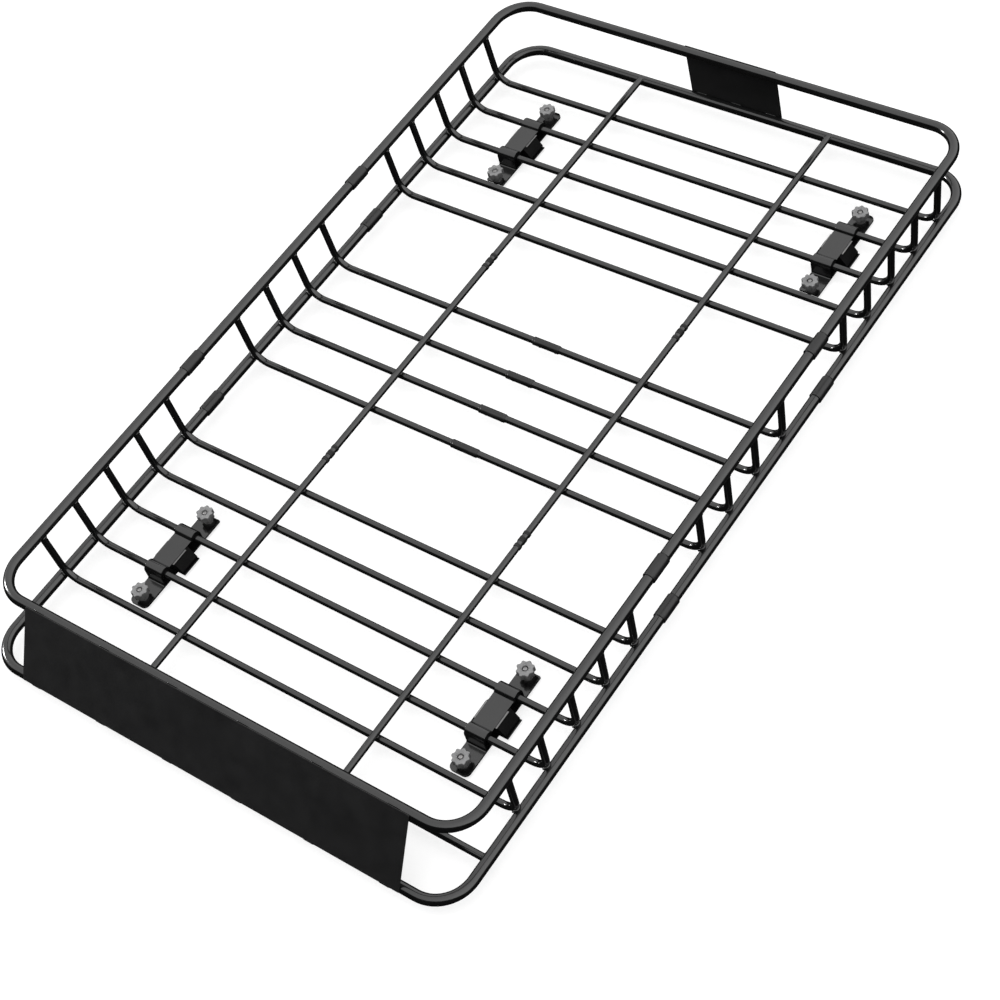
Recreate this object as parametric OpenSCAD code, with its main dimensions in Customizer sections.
// Roof cargo basket: a welded tube basket in three sections, with four clamps
// that grip the two crossbars of a roof rack.
// Frame: origin at the middle of the lower rail's plane, halfway along the
// basket, at the height of the lower rail's centre line. +X is the basket's
// left side, -Y is its front (the fairing end), +Z is up. Millimetres.

/* [Rails] */
// Centre-to-centre width of both rail rings
rail_w = 971.6; // [960:0.1:990]
// Centre-to-centre length of the lower ring
rail_l = 1616.8; // [1610:0.2:1640]
// How far the front of the upper ring leans back
front_rake = 70.4; // [60:0.1:80]
// Height of the upper ring's centre line over the lower one
rail_h = 112.2; // [108:0.1:118]
// Outside diameter of the rail tube
rail_d = 19; // [18:0.1:20]
// Wall of the rail tube
rail_wall = 1.5; // [1:0.1:2]
// Centre-line radius of the rings' corners
corner_r = 63; // [58:0.5:70]

/* [Crossbars] */
// Outside diameter of the crossbar tube
bar_d = 12.7; // [12:0.1:13]
// Wall of the crossbar tube
bar_wall = 1.2; // [1:0.1:1.6]
// Centre-line radius where a crossbar turns up
bend_r = 34; // [34:0.1:36]
// Distance from the middle to the upright's line at the lower rail's height
upright_x = 478.7; // [477:0.1:479]
// Position of the first front crossbar
front_y0 = -619.4; // [-621:0.1:-617]
// Spacing of the front and rear crossbars
outer_pitch = 82.7; // [82:0.1:83]
// Position of the first middle crossbar
mid_y0 = -85.8; // [-88:0.1:-84]
// Spacing of the middle crossbars
mid_pitch = 84.7; // [84:0.1:85]
// Position of the first rear crossbar
rear_y0 = 371.8; // [370:0.1:373]
// Position of the straight tie bar behind the fairing
tie_y = -707.1; // [-710:0.1:-700]

/* [Floor rods] */
// Outside diameter of the floor rods
rod_d = 12; // [11.8:0.1:12.2]
// Wall of the floor rods
rod_wall = 2; // [2:0.1:2.4]
// Distance of a floor rod from the middle
rod_x = 205.5; // [200:0.5:210]
// How deep a rod is set down into each crossbar at its weld
set_down = 1.65; // [1.2:0.05:1.8]

/* [Section joints] */
// Position of the joint between the front and middle sections
joint_f = -206.5; // [-212:0.5:-203]
// Position of the joint between the middle and rear sections
joint_r = 285; // [280:0.5:290]
// Length of a coupler sleeve
sleeve_l = 46; // [42:1:50]
// Outside diameter of a coupler sleeve
sleeve_d = 22.6; // [22:0.1:23.4]
// Length of a crossbar sleeve
bar_sleeve_l = 56; // [50:1:60]
// Outside diameter of a crossbar sleeve
bar_sleeve_d = 15.6; // [15:0.1:16.2]
// Gap between the capped ends of two rods at a section joint
rod_gap = 4; // [3:0.5:6]

/* [Plates] */
// Width of the front fairing
fairing_w = 799; // [780:1:820]
// Thickness of the fairing and the rear plate
plate_t = 1.5; // [1:0.1:2]
// How far the plates stand over the upper tube's centre line
plate_over = 4.4; // [3:0.1:6]
// How far the plates reach under the lower tube's centre line
plate_under = 3.6; // [3:0.1:8]
// Width of the rear plate
rear_plate_w = 197; // [180:1:210]

/* [Clamps] */
// Position of the left clamps across the basket
clamp_xl = 346; // [340:1:350]
// Position of the right clamps across the basket
clamp_xr = 338; // [334:1:346]
// Width of the clamp's strips
strip_w = 38.6; // [36:0.2:40]
// Thickness of the clamp's strips
strip_t = 2; // [1.8:0.1:2.2]
// Gap between a crossbar and the rubber liner of the hump that sits over it
hump_gap = 0.05; // [0.05:0.01:0.1]
// Thickness of the rubber liner inside each hump
liner_t = 4.3; // [3.8:0.1:4.5]
// Height of the end flats' upper face
flat_z = -22.5; // [-24:0.1:-22]
// Height of the raised pad's upper face
pad_z = 2; // [1:0.1:3]
// Distance of each bolt from the clamp's middle
bolt_y = 89.5; // [88:0.5:91]
// Reach of the square end from the clamp's middle
square_end = 98.6; // [97:0.2:102]
// Reach of the rounded end from the clamp's middle
round_end = 107.4; // [106:0.2:109]
// Corner radius of the rounded end
round_r = 10; // [8:0.5:14]
// Diameter of the clamp bolts
bolt_d = 8; // [8:1:8]
// Width of the rubber saddle at its base
saddle_w = 66; // [60:1:70]
// Length of the rubber saddle along the basket
saddle_l = 39.2; // [34:0.2:42]
// Width of the lower strip's wings
wing_w = 72; // [70:1:80]
// Length of the lower strip's wings along the basket
wing_l = 40; // [36:1:44]

/* [Knobs] */
// Diameter over the knob's lobes
knob_d = 31; // [28:0.5:34]
// Number of lobes
knob_lobes = 8; // [7:1:9]
// Height of the knob's star head
knob_head_h = 12; // [9:0.5:14]
// Height of the knob's upper face
knob_top = 0.8; // [0:0.1:2]

/* [Hidden] */
$fn = 48;

steel = [0.10, 0.10, 0.105];
dull = [0.07, 0.07, 0.075];
zinc = [0.72, 0.73, 0.74];
knob_grey = [0.42, 0.42, 0.43];
rubber = [0.03, 0.03, 0.03];

clear = 0.05;     // between a part and one that fits round or under it
touch_gap = 0.02; // between parts that rest on each other
butt_gap = 0.2;   // from a section joint to each tube's end
cut_over = 1;     // how far a cut runs past the face it opens

rail_x = rail_w/2;
rail_y = rail_l/2;
upper_front_y = -rail_y + front_rake;
rail_r = rail_d/2;
bar_r = bar_d/2;
rod_r = rod_d/2;
bar_z = -rail_r + bar_r; // undersides level with the lower rail's
rod_z = bar_z + bar_r + rod_r - set_down;
front_ys = [for (i = [0:4]) front_y0 + i*outer_pitch];
mid_ys = [for (i = [0:3]) mid_y0 + i*mid_pitch];
rear_ys = [for (i = [0:4]) rear_y0 + i*outer_pitch];

// ---- straight tubes ----------------------------------------------------

module along_y(x, from_y, to_y, z, radius) {
  translate([x, from_y, z]) rotate([-90, 0, 0]) cylinder(r = radius, h = to_y - from_y);
}
module along_x(from_x, to_x, y, z, radius) {
  translate([from_x, y, z]) rotate([0, 90, 0]) cylinder(r = radius, h = to_x - from_x);
}

// ---- section joints ----------------------------------------------------

screw_r = 2;
screw_l = 5;
screw_head_r = 3.8;
screw_head_h = 2.15;
neck_lap = 0.01; // the neck joins head and shank across the clearance
neck_h = 0.1;
socket_r = 1.44;
socket_l = 1.5;
rail_screw_y = 12; // from a rail joint to each of its screws
bar_screw_x = 17;  // from the middle to each crossbar screw

// Each screw's place: [point on the sleeve's underside, sleeve radius]
joint_spots = concat(
  [for (side = [-1, 1]) for (joint = [joint_f, joint_r]) for (z = [0, rail_h])
     for (offset_y = [-rail_screw_y, rail_screw_y])
       [[side*rail_x, joint + offset_y, z - sleeve_d/2], sleeve_d/2]],
  [for (y = mid_ys) for (x = [-bar_screw_x, bar_screw_x])
     [[x, y, bar_z - bar_sleeve_d/2], bar_sleeve_d/2]]);

module joint_holes() {
  for (spot = joint_spots)
    translate(spot[0] - [0, 0, 1]) cylinder(r = screw_r + clear, h = spot[1]);
}
module rail_sleeve(x, y, z) {
  difference() {
    along_y(x, y - sleeve_l/2, y + sleeve_l/2, z, sleeve_d/2);
    along_y(x, y - sleeve_l, y + sleeve_l, z, rail_r + clear);
  }
}
module rail_couplers() color(dull) difference() {
  for (side = [-1, 1]) for (joint = [joint_f, joint_r]) for (z = [0, rail_h])
    rail_sleeve(side*rail_x, joint, z);
  joint_holes();
}
module crossbar_sleeves() color(dull) difference() {
  for (y = mid_ys) along_x(-bar_sleeve_l/2, bar_sleeve_l/2, y, bar_z, bar_sleeve_d/2);
  for (y = mid_ys) along_x(-bar_sleeve_l, bar_sleeve_l, y, bar_z, bar_r + clear);
  joint_holes();
}
// Low-head socket screws, driven up into each tube end from below
module joint_screws() color(dull) {
  for (spot = joint_spots) translate(spot[0]) difference() {
    union() {
      cylinder(r = screw_r, h = screw_l);
      translate([0, 0, -screw_head_h - clear]) cylinder(r = screw_head_r, h = screw_head_h);
      translate([0, 0, -clear - neck_lap]) cylinder(r = screw_r, h = neck_h);
    }
    translate([0, 0, -2.3]) cylinder(r = socket_r, h = socket_l, $fn = 6);
  }
}

// ---- rails -------------------------------------------------------------

// Quarter turn in the horizontal plane
module quarter(centre, start_angle, z, radius) {
  translate([centre[0], centre[1], z]) rotate([0, 0, start_angle])
    rotate_extrude(angle = 90, $fn = 96) translate([corner_r, 0]) circle(r = radius);
}
// U-shaped end of a ring, down to a joint: end is -1 for the front, 1 for the rear
module ring_end(end, ring_y, joint_y, z, radius) {
  corner_x = rail_x - corner_r;
  corner_y = ring_y - end*corner_r;
  for (side = [-1, 1])
    if (end > 0) along_y(side*rail_x, joint_y + butt_gap, corner_y, z, radius);
    else along_y(side*rail_x, corner_y, joint_y - butt_gap, z, radius);
  quarter([corner_x, corner_y], end > 0 ? 0 : -90, z, radius);
  quarter([-corner_x, corner_y], end > 0 ? 90 : 180, z, radius);
  along_x(-corner_x, corner_x, ring_y, z, radius);
}
module ring_end_tube(end, ring_y, joint_y, z) {
  difference() {
    ring_end(end, ring_y, joint_y, z, rail_r);
    ring_end(end, ring_y, joint_y - end*cut_over, z, rail_r - rail_wall);
    joint_holes();
  }
}
module mid_rail(x, z) {
  difference() {
    along_y(x, joint_f + butt_gap, joint_r - butt_gap, z, rail_r);
    along_y(x, joint_f - cut_over, joint_r + cut_over, z, rail_r - rail_wall);
    joint_holes();
  }
}
// The outside of both rings' long sides, for the notches in what meets them
module rail_cores() {
  for (side = [-1, 1]) {
    along_y(side*rail_x, -rail_y + corner_r, rail_y - corner_r, 0, rail_r + touch_gap);
    along_y(side*rail_x, upper_front_y + corner_r, rail_y - corner_r, rail_h,
            rail_r + touch_gap);
  }
}

module upper_rail_front() color(steel) ring_end_tube(-1, upper_front_y, joint_f, rail_h);
module upper_rail_rear() color(steel) ring_end_tube(1, rail_y, joint_r, rail_h);
module lower_rail_front() color(steel) ring_end_tube(-1, -rail_y, joint_f, 0);
module lower_rail_rear() color(steel) ring_end_tube(1, rail_y, joint_r, 0);
module upper_rail_mid_left() color(steel) mid_rail(rail_x, rail_h);
module upper_rail_mid_right() color(steel) mid_rail(-rail_x, rail_h);
module lower_rail_mid_left() color(steel) mid_rail(rail_x, 0);
module lower_rail_mid_right() color(steel) mid_rail(-rail_x, 0);

// ---- crossbars ---------------------------------------------------------

// Uprights lean outwards to meet the upper rail's centre line
lean = atan2(rail_x - upright_x, rail_h);
bend_angle = 90 - lean;
// Where the upright's line crosses the crossbar's height
foot_x = upright_x + bar_z*(rail_x - upright_x)/rail_h;
// Start of the bend, to the nearest 0.02 mm
bend_x = round(50*(foot_x - bend_r*tan(bend_angle/2)))/50;
bend_top_x = bend_x + bend_r*sin(bend_angle);
bend_top_z = bar_z + bend_r*(1 - cos(bend_angle));
upright_l = norm([rail_x - bend_top_x, rail_h - bend_top_z]);
// Straight lengths start just inside a bend and are a hair thinner than it
lap = 0.8;
hair = 0.02;
flat_x = bend_x + lap;
tie_inset = 7; // from a rail's centre line to the tie bar's uncut end

// A crossbar's bend and upright, up to the upper rail: side is 1 left, -1 right
module bar_side(side, y, radius, extra) {
  mirror([side > 0 ? 0 : 1, 0, 0]) {
    translate([bend_x, y, bar_z + bend_r]) rotate([90, 0, 0]) rotate([0, 0, -90])
      rotate_extrude(angle = bend_angle, $fn = 96) translate([bend_r, 0]) circle(r = radius);
    translate([bend_x, y, bar_z + bend_r]) rotate([0, lean, 0])
      translate([bend_r, 0, -lap]) cylinder(r = radius - hair, h = upright_l + extra + lap);
  }
}
module full_bar(y, radius, extra) {
  along_x(-flat_x, flat_x, y, bar_z, radius - hair);
  for (side = [-1, 1]) bar_side(side, y, radius, extra);
}
// One side's half; start is how far from the middle it begins
module half_bar(side, y, start, radius, extra) {
  along_x(side > 0 ? start : -flat_x, side > 0 ? flat_x : -start, y, bar_z, radius - hair);
  bar_side(side, y, radius, extra);
}
module full_bars(bar_ys) {
  difference() {
    for (y = bar_ys) full_bar(y, bar_r, 0);
    for (y = bar_ys) full_bar(y, bar_r - bar_wall, cut_over);
    rail_cores();
  }
}
module half_bars(side) {
  difference() {
    for (y = mid_ys) half_bar(side, y, butt_gap, bar_r, 0);
    for (y = mid_ys) half_bar(side, y, -cut_over, bar_r - bar_wall, cut_over);
    rail_cores();
    joint_holes();
  }
}

module front_crossbars() color(steel) full_bars(front_ys);
module rear_crossbars() color(steel) full_bars(rear_ys);
module mid_crossbars_left() color(steel) half_bars(1);
module mid_crossbars_right() color(steel) half_bars(-1);
module front_tie_bar() color(steel) difference() {
  along_x(-rail_x + tie_inset, rail_x - tie_inset, tie_y, bar_z, bar_r);
  along_x(-rail_x, rail_x, tie_y, bar_z, bar_r - bar_wall);
  rail_cores();
}

// ---- floor rods --------------------------------------------------------

rod_end = rail_y - 4.5;    // uncut outer ends, inside the rail tubes
seat_gap = 0.01;           // between a rod and the crossbar it is set into
seat_x = rod_x + 10;       // half length of the cuts across both rods
cap_t = 1.2;
cap_l = 12;
cap_face_r = 4.2;
cap_step = 0.6;            // from the cap's face back to its collar
cap_wall = 0.9;
front_rod_joint = joint_f - rod_gap/2;
mid_rod_front = joint_f + rod_gap/2;
mid_rod_rear = joint_r - rod_gap/2;
rear_rod_joint = joint_r + rod_gap/2;

// A pair of rods, saddled over the crossbars at bar_ys and notched at the rails
module rod_pair(from_y, to_y, bar_ys) {
  difference() {
    for (side = [-1, 1]) along_y(side*rod_x, from_y, to_y, rod_z, rod_r);
    for (side = [-1, 1])
      along_y(side*rod_x, from_y - cut_over, to_y + cut_over, rod_z, rod_r - rod_wall);
    for (y = bar_ys) along_x(-seat_x, seat_x, y, bar_z, bar_r + seat_gap);
    along_x(-seat_x, seat_x, -rail_y, 0, rail_r + touch_gap);
    along_x(-seat_x, seat_x, rail_y, 0, rail_r + touch_gap);
  }
}
module front_floor_rods() color(steel)
  rod_pair(-rod_end, front_rod_joint - cap_t, concat([tie_y], front_ys));
module mid_floor_rods() color(steel)
  rod_pair(mid_rod_front + cap_t, mid_rod_rear - cap_t, mid_ys);
module rear_floor_rods() color(steel)
  rod_pair(rear_rod_joint + cap_t, rod_end, rear_ys);

// Plastic cap over a rod's end; the rod leaves it towards +Y or -Y as way is 1 or -1
module rod_cap(x, y, way) {
  translate([x, y, rod_z]) rotate([-90*way, 0, 0]) difference() {
    union() {
      cylinder(r = cap_face_r, h = cap_t);
      translate([0, 0, cap_step]) cylinder(r = rod_r + cap_wall, h = cap_l - cap_step);
    }
    translate([0, 0, cap_t]) cylinder(r = rod_r + clear/2, h = 20);
  }
}
module rod_end_caps() color(dull)
  for (side = [-1, 1]) for (joint = [joint_f, joint_r]) for (way = [-1, 1])
    rod_cap(side*rod_x, joint + way*rod_gap/2, way);

// ---- plates ------------------------------------------------------------

rake_l = norm([front_rake, rail_h]);
rake_angle = atan2(front_rake, rail_h);
fairing_h = rake_l + plate_under + plate_over;
rear_plate_h = rail_h + plate_under + plate_over;
// Sides of the square cutters that clip the plates' corners
fairing_clip = 2.4;
rear_clip = 3;
clip_l = 8;

// The fairing lies on the front tubes, leaning back with the upper ring
module front_fairing() color(dull)
  translate([0, upper_front_y, rail_h]) rotate([-rake_angle, 0, 0])
    translate([-fairing_w/2, -rail_r - touch_gap - plate_t, -rake_l - plate_under])
      difference() {
        cube([fairing_w, plate_t, fairing_h]);
        for (x = [0, fairing_w]) for (z = [0, fairing_h])
          translate([x, -1, z]) rotate([-90, 0, 0]) rotate([0, 0, 45])
            cube([fairing_clip, fairing_clip, clip_l], center = true);
      }
module rear_plate() color(dull)
  translate([-rear_plate_w/2, rail_y + rail_r + touch_gap, -plate_under]) difference() {
    cube([rear_plate_w, plate_t, rear_plate_h]);
    for (x = [0, rear_plate_w]) for (z = [0, rear_plate_h])
      translate([x, plate_t/2, z]) rotate([0, 45, 0])
        cube([rear_clip, clip_l, rear_clip], center = true);
  }

// ---- clamps ------------------------------------------------------------
// Built about the clamp's middle, with the rounded end towards -Y.

hump_y = outer_pitch/2;
hump_in_r = bar_r + hump_gap + liner_t;
hump_out_r = hump_in_r + strip_t;
pad_under_z = pad_z - strip_t;
flat_under_z = flat_z - strip_t;
lower_strip_z = flat_under_z - strip_t - clear; // the lower strip's underside
strip_l = round_end + square_end;
bolt_r = bolt_d/2;
foot_fillet = 3; // where a hump's leg meets its end flat
fillet_lap = 0.5;

// Side profile of the bracket: y runs across the page, z up it
module bracket_profile() {
  leg_h = bar_z - flat_under_z;
  fillet_y = hump_y + hump_out_r + foot_fillet;
  fillet_side = foot_fillet + fillet_lap;
  difference() {
    union() {
      for (way = [-1, 1]) {
        translate([way*hump_y, bar_z]) circle(r = hump_out_r);
        translate([way > 0 ? hump_y : -hump_y - hump_out_r, flat_under_z])
          square([hump_out_r, leg_h]);
        translate([way > 0 ? hump_y + hump_out_r - fillet_lap : -fillet_y, flat_z - fillet_lap])
          square([fillet_side, fillet_side]);
      }
      translate([-hump_y, pad_under_z]) square([2*hump_y, strip_t]);
      translate([-round_end, flat_under_z]) square([strip_l, strip_t]);
    }
    for (way = [-1, 1]) {
      translate([way*hump_y, bar_z]) circle(r = hump_in_r);
      translate([way*fillet_y, flat_z + foot_fillet]) circle(r = foot_fillet);
    }
    translate([-hump_y - hump_in_r, flat_under_z - cut_over])
      square([2*(hump_y + hump_in_r), leg_h + cut_over]);
    translate([-hump_y, flat_under_z - cut_over])
      square([2*hump_y, pad_under_z - flat_under_z + cut_over]);
  }
}
// Plan of a clamp strip: round corners at the -Y end, small chamfers at the other
module strip_plan() {
  chamfer_out = 0.01;
  chamfer_side = 2;
  difference() {
    translate([-strip_w/2, -round_end]) square([strip_w, strip_l]);
    for (side = [-1, 1]) difference() {
      translate([side > 0 ? strip_w/2 - round_r : -strip_w/2 - cut_over, -round_end - cut_over])
        square([round_r + cut_over, round_r + cut_over]);
      translate([side*(strip_w/2 - round_r), -round_end + round_r]) circle(r = round_r);
    }
    for (side = [-1, 1])
      translate([side*(strip_w/2 + chamfer_out), square_end + chamfer_out])
        rotate(45) square([chamfer_side, chamfer_side], center = true);
  }
}
module bracket() color(steel) difference() {
  intersection() {
    rotate([90, 0, 90]) translate([0, 0, -strip_w/2]) linear_extrude(strip_w) bracket_profile();
    translate([0, 0, -40]) linear_extrude(80) strip_plan();
  }
  for (way = [-1, 1])
    translate([0, way*bolt_y, flat_under_z - 5]) cylinder(r = bolt_r + 0.5, h = 12);
}
// Flat strip with wings under the bracket, with square holes for the bolts' necks
module lower_strip() color(steel) {
  neck_gap = 0.1;
  hole = bolt_d + 2*neck_gap;
  difference() {
    translate([0, 0, lower_strip_z]) linear_extrude(strip_t) {
      strip_plan();
      translate([-wing_w/2, -wing_l/2]) square([wing_w, wing_l]);
    }
    for (way = [-1, 1])
      translate([-hole/2, way*bolt_y - hole/2, flat_under_z - strip_t - 2])
        cube([hole, hole, 6]);
  }
}

backing_t = 1;
backing_z = pad_under_z - clear - backing_t;
// Steel sheet between the pad and the rubber block
module backing_sheet() color(zinc)
  translate([-22, -22, backing_z]) cube([44, 34.5, backing_t]);

// Rubber half-shells inside the humps; they sit on the crossbars
module liners() color(rubber) {
  inset = 0.4;
  cut = 20;
  for (way = [-1, 1])
    rotate([90, 0, 90]) translate([0, 0, -strip_w/2 + inset])
      linear_extrude(strip_w - 2*inset) difference() {
        translate([way*hump_y, bar_z]) circle(r = hump_in_r - touch_gap);
        translate([way*hump_y, bar_z]) circle(r = bar_r + hump_gap);
        translate([way*hump_y - cut, bar_z - cut]) square([2*cut, cut]);
      }
}
// Rubber block under the pad, grooved underneath; it rests on the roof rack's bar
module saddle() color(rubber) {
  top = backing_z - touch_gap;
  base = flat_under_z + 2.05;
  shoulder = base + 3; // top of the upright sides
  edge_r = 1.5;
  top_x = 20.5;
  groove_w = 3;
  difference() {
    translate([0, saddle_l/2, 0]) rotate([90, 0, 0]) linear_extrude(saddle_l) union() {
      polygon([
        [-saddle_w/2, base], [saddle_w/2, base], [saddle_w/2, shoulder],
        [top_x, top - edge_r], [top_x - edge_r, top],
        [edge_r - top_x, top], [-top_x, top - edge_r], [-saddle_w/2, shoulder]]);
      for (side = [-1, 1])
        translate([side*(top_x - edge_r), top - edge_r]) circle(r = edge_r);
    }
    for (x = [-28:8:28])
      translate([x - groove_w/2, -saddle_l, base - cut_over])
        cube([groove_w, 2*saddle_l, 1.2 + cut_over]);
  }
}

washer_t = 1.6;
module washers() color(zinc)
  for (way = [-1, 1]) translate([0, way*bolt_y, flat_z]) difference() {
    cylinder(r = 9, h = washer_t);
    translate([0, 0, -cut_over]) cylinder(r = bolt_r + 0.3, h = 4);
  }

// Carriage bolts: domed head, square neck in the lower plate, round shank
module bolts() color(zinc) {
  dome_r = 10.4;
  head_h = 5;
  tip = 0.8;     // chamfer at the shank's end
  tip_below = 1; // from the knob's upper face down to the bolt's end
  shank_l = knob_top - tip_below - (flat_under_z - clear) - tip;
  for (way = [-1, 1]) translate([0, way*bolt_y, lower_strip_z]) {
    difference() {
      translate([0, 0, dome_r - head_h]) sphere(r = dome_r);
      translate([-20, -20, 0]) cube([40, 40, 20]);
    }
    translate([-bolt_r, -bolt_r, 0]) cube([bolt_d, bolt_d, strip_t]);
    translate([0, 0, strip_t]) cylinder(r = bolt_r, h = shank_l);
    translate([0, 0, shank_l + strip_t]) cylinder(r1 = bolt_r, r2 = bolt_r - tip, h = tip);
  }
}

// ---- knobs -------------------------------------------------------------

knob_low = flat_z + washer_t + clear;
stem_r = 9.2;
knob_bore_r = 5.4;
hollow_r = 5.4;   // hollows between the lobes
hollow_out = 2.9; // their centres, beyond the lobes' tips
insert_r = 6.5;
insert_h = 13;

module knob() color(knob_grey) difference() {
  union() {
    translate([0, 0, knob_top - knob_head_h]) linear_extrude(knob_head_h) difference() {
      circle(r = knob_d/2);
      for (i = [0:knob_lobes - 1]) rotate((i + 0.5)*360/knob_lobes)
        translate([knob_d/2 + hollow_out, 0]) circle(r = hollow_r);
    }
    translate([0, 0, knob_low]) cylinder(r = stem_r, h = knob_top - knob_low - 2);
  }
  translate([0, 0, knob_low - cut_over]) cylinder(r = insert_r, h = insert_h + cut_over);
  translate([0, 0, knob_low]) cylinder(r = knob_bore_r, h = 40);
}
// Threaded bush moulded into the knob
module insert() color(zinc) difference() {
  translate([0, 0, knob_low]) cylinder(r = insert_r, h = insert_h);
  translate([0, 0, knob_low - cut_over]) cylinder(r = bolt_r + clear, h = 40);
}

// ---- clamp places ------------------------------------------------------

front_clamp_y = (front_ys[1] + front_ys[2])/2;
rear_clamp_y = (rear_ys[2] + rear_ys[3])/2;
// Each clamp's place: [x, y, turn], with its rounded end facing outwards
clamp_fl = [clamp_xl, front_clamp_y, 0];
clamp_fr = [-clamp_xr, front_clamp_y, 0];
clamp_rl = [clamp_xl, rear_clamp_y, 180];
clamp_rr = [-clamp_xr, rear_clamp_y, 180];
module at(place) translate([place[0], place[1], 0]) rotate([0, 0, place[2]]) children();
// way is -1 for the knob nearer the basket's front and 1 for the other
module at_knob(place, way, turn)
  translate([place[0], place[1] + way*bolt_y, 0]) rotate([0, 0, turn]) children();

module clamp_bracket_fl() at(clamp_fl) bracket();
module clamp_bracket_fr() at(clamp_fr) bracket();
module clamp_bracket_rl() at(clamp_rl) bracket();
module clamp_bracket_rr() at(clamp_rr) bracket();
module hump_liners_fl() at(clamp_fl) liners();
module hump_liners_fr() at(clamp_fr) liners();
module hump_liners_rl() at(clamp_rl) liners();
module hump_liners_rr() at(clamp_rr) liners();
module saddle_plate_fl() at(clamp_fl) backing_sheet();
module saddle_plate_fr() at(clamp_fr) backing_sheet();
module saddle_plate_rl() at(clamp_rl) backing_sheet();
module saddle_plate_rr() at(clamp_rr) backing_sheet();
module rubber_saddle_fl() at(clamp_fl) saddle();
module rubber_saddle_fr() at(clamp_fr) saddle();
module rubber_saddle_rl() at(clamp_rl) saddle();
module rubber_saddle_rr() at(clamp_rr) saddle();
module knob_washers_fl() at(clamp_fl) washers();
module knob_washers_fr() at(clamp_fr) washers();
module knob_washers_rl() at(clamp_rl) washers();
module knob_washers_rr() at(clamp_rr) washers();
module lower_plate_fl() at(clamp_fl) lower_strip();
module lower_plate_fr() at(clamp_fr) lower_strip();
module lower_plate_rl() at(clamp_rl) lower_strip();
module lower_plate_rr() at(clamp_rr) lower_strip();
module carriage_bolts_fl() at(clamp_fl) bolts();
module carriage_bolts_fr() at(clamp_fr) bolts();
module carriage_bolts_rl() at(clamp_rl) bolts();
module carriage_bolts_rr() at(clamp_rr) bolts();
module knob_fl_front() at_knob(clamp_fl, -1, 12) knob();
module knob_fl_rear() at_knob(clamp_fl, 1, 3) knob();
module knob_fr_front() at_knob(clamp_fr, -1, 5) knob();
module knob_fr_rear() at_knob(clamp_fr, 1, 20) knob();
module knob_rl_front() at_knob(clamp_rl, -1, 8) knob();
module knob_rl_rear() at_knob(clamp_rl, 1, 15) knob();
module knob_rr_front() at_knob(clamp_rr, -1, 0) knob();
module knob_rr_rear() at_knob(clamp_rr, 1, 10) knob();
module knob_insert_fl_front() at_knob(clamp_fl, -1, 0) insert();
module knob_insert_fl_rear() at_knob(clamp_fl, 1, 0) insert();
module knob_insert_fr_front() at_knob(clamp_fr, -1, 0) insert();
module knob_insert_fr_rear() at_knob(clamp_fr, 1, 0) insert();
module knob_insert_rl_front() at_knob(clamp_rl, -1, 0) insert();
module knob_insert_rl_rear() at_knob(clamp_rl, 1, 0) insert();
module knob_insert_rr_front() at_knob(clamp_rr, -1, 0) insert();
module knob_insert_rr_rear() at_knob(clamp_rr, 1, 0) insert();

front_fairing();
rear_plate();
upper_rail_front();
upper_rail_mid_left();
upper_rail_mid_right();
upper_rail_rear();
lower_rail_front();
lower_rail_mid_left();
lower_rail_mid_right();
lower_rail_rear();
rail_couplers();
front_crossbars();
mid_crossbars_left();
mid_crossbars_right();
rear_crossbars();
crossbar_sleeves();
front_tie_bar();
front_floor_rods();
mid_floor_rods();
rear_floor_rods();
rod_end_caps();
joint_screws();
clamp_bracket_fl();
hump_liners_fl();
saddle_plate_fl();
rubber_saddle_fl();
knob_washers_fl();
lower_plate_fl();
carriage_bolts_fl();
knob_fl_front();
knob_fl_rear();
knob_insert_fl_front();
knob_insert_fl_rear();
clamp_bracket_fr();
hump_liners_fr();
saddle_plate_fr();
rubber_saddle_fr();
knob_washers_fr();
lower_plate_fr();
carriage_bolts_fr();
knob_fr_front();
knob_fr_rear();
knob_insert_fr_front();
knob_insert_fr_rear();
clamp_bracket_rl();
hump_liners_rl();
saddle_plate_rl();
rubber_saddle_rl();
knob_washers_rl();
lower_plate_rl();
carriage_bolts_rl();
knob_rl_front();
knob_rl_rear();
knob_insert_rl_front();
knob_insert_rl_rear();
clamp_bracket_rr();
hump_liners_rr();
saddle_plate_rr();
rubber_saddle_rr();
knob_washers_rr();
lower_plate_rr();
carriage_bolts_rr();
knob_rr_front();
knob_rr_rear();
knob_insert_rr_front();
knob_insert_rr_rear();
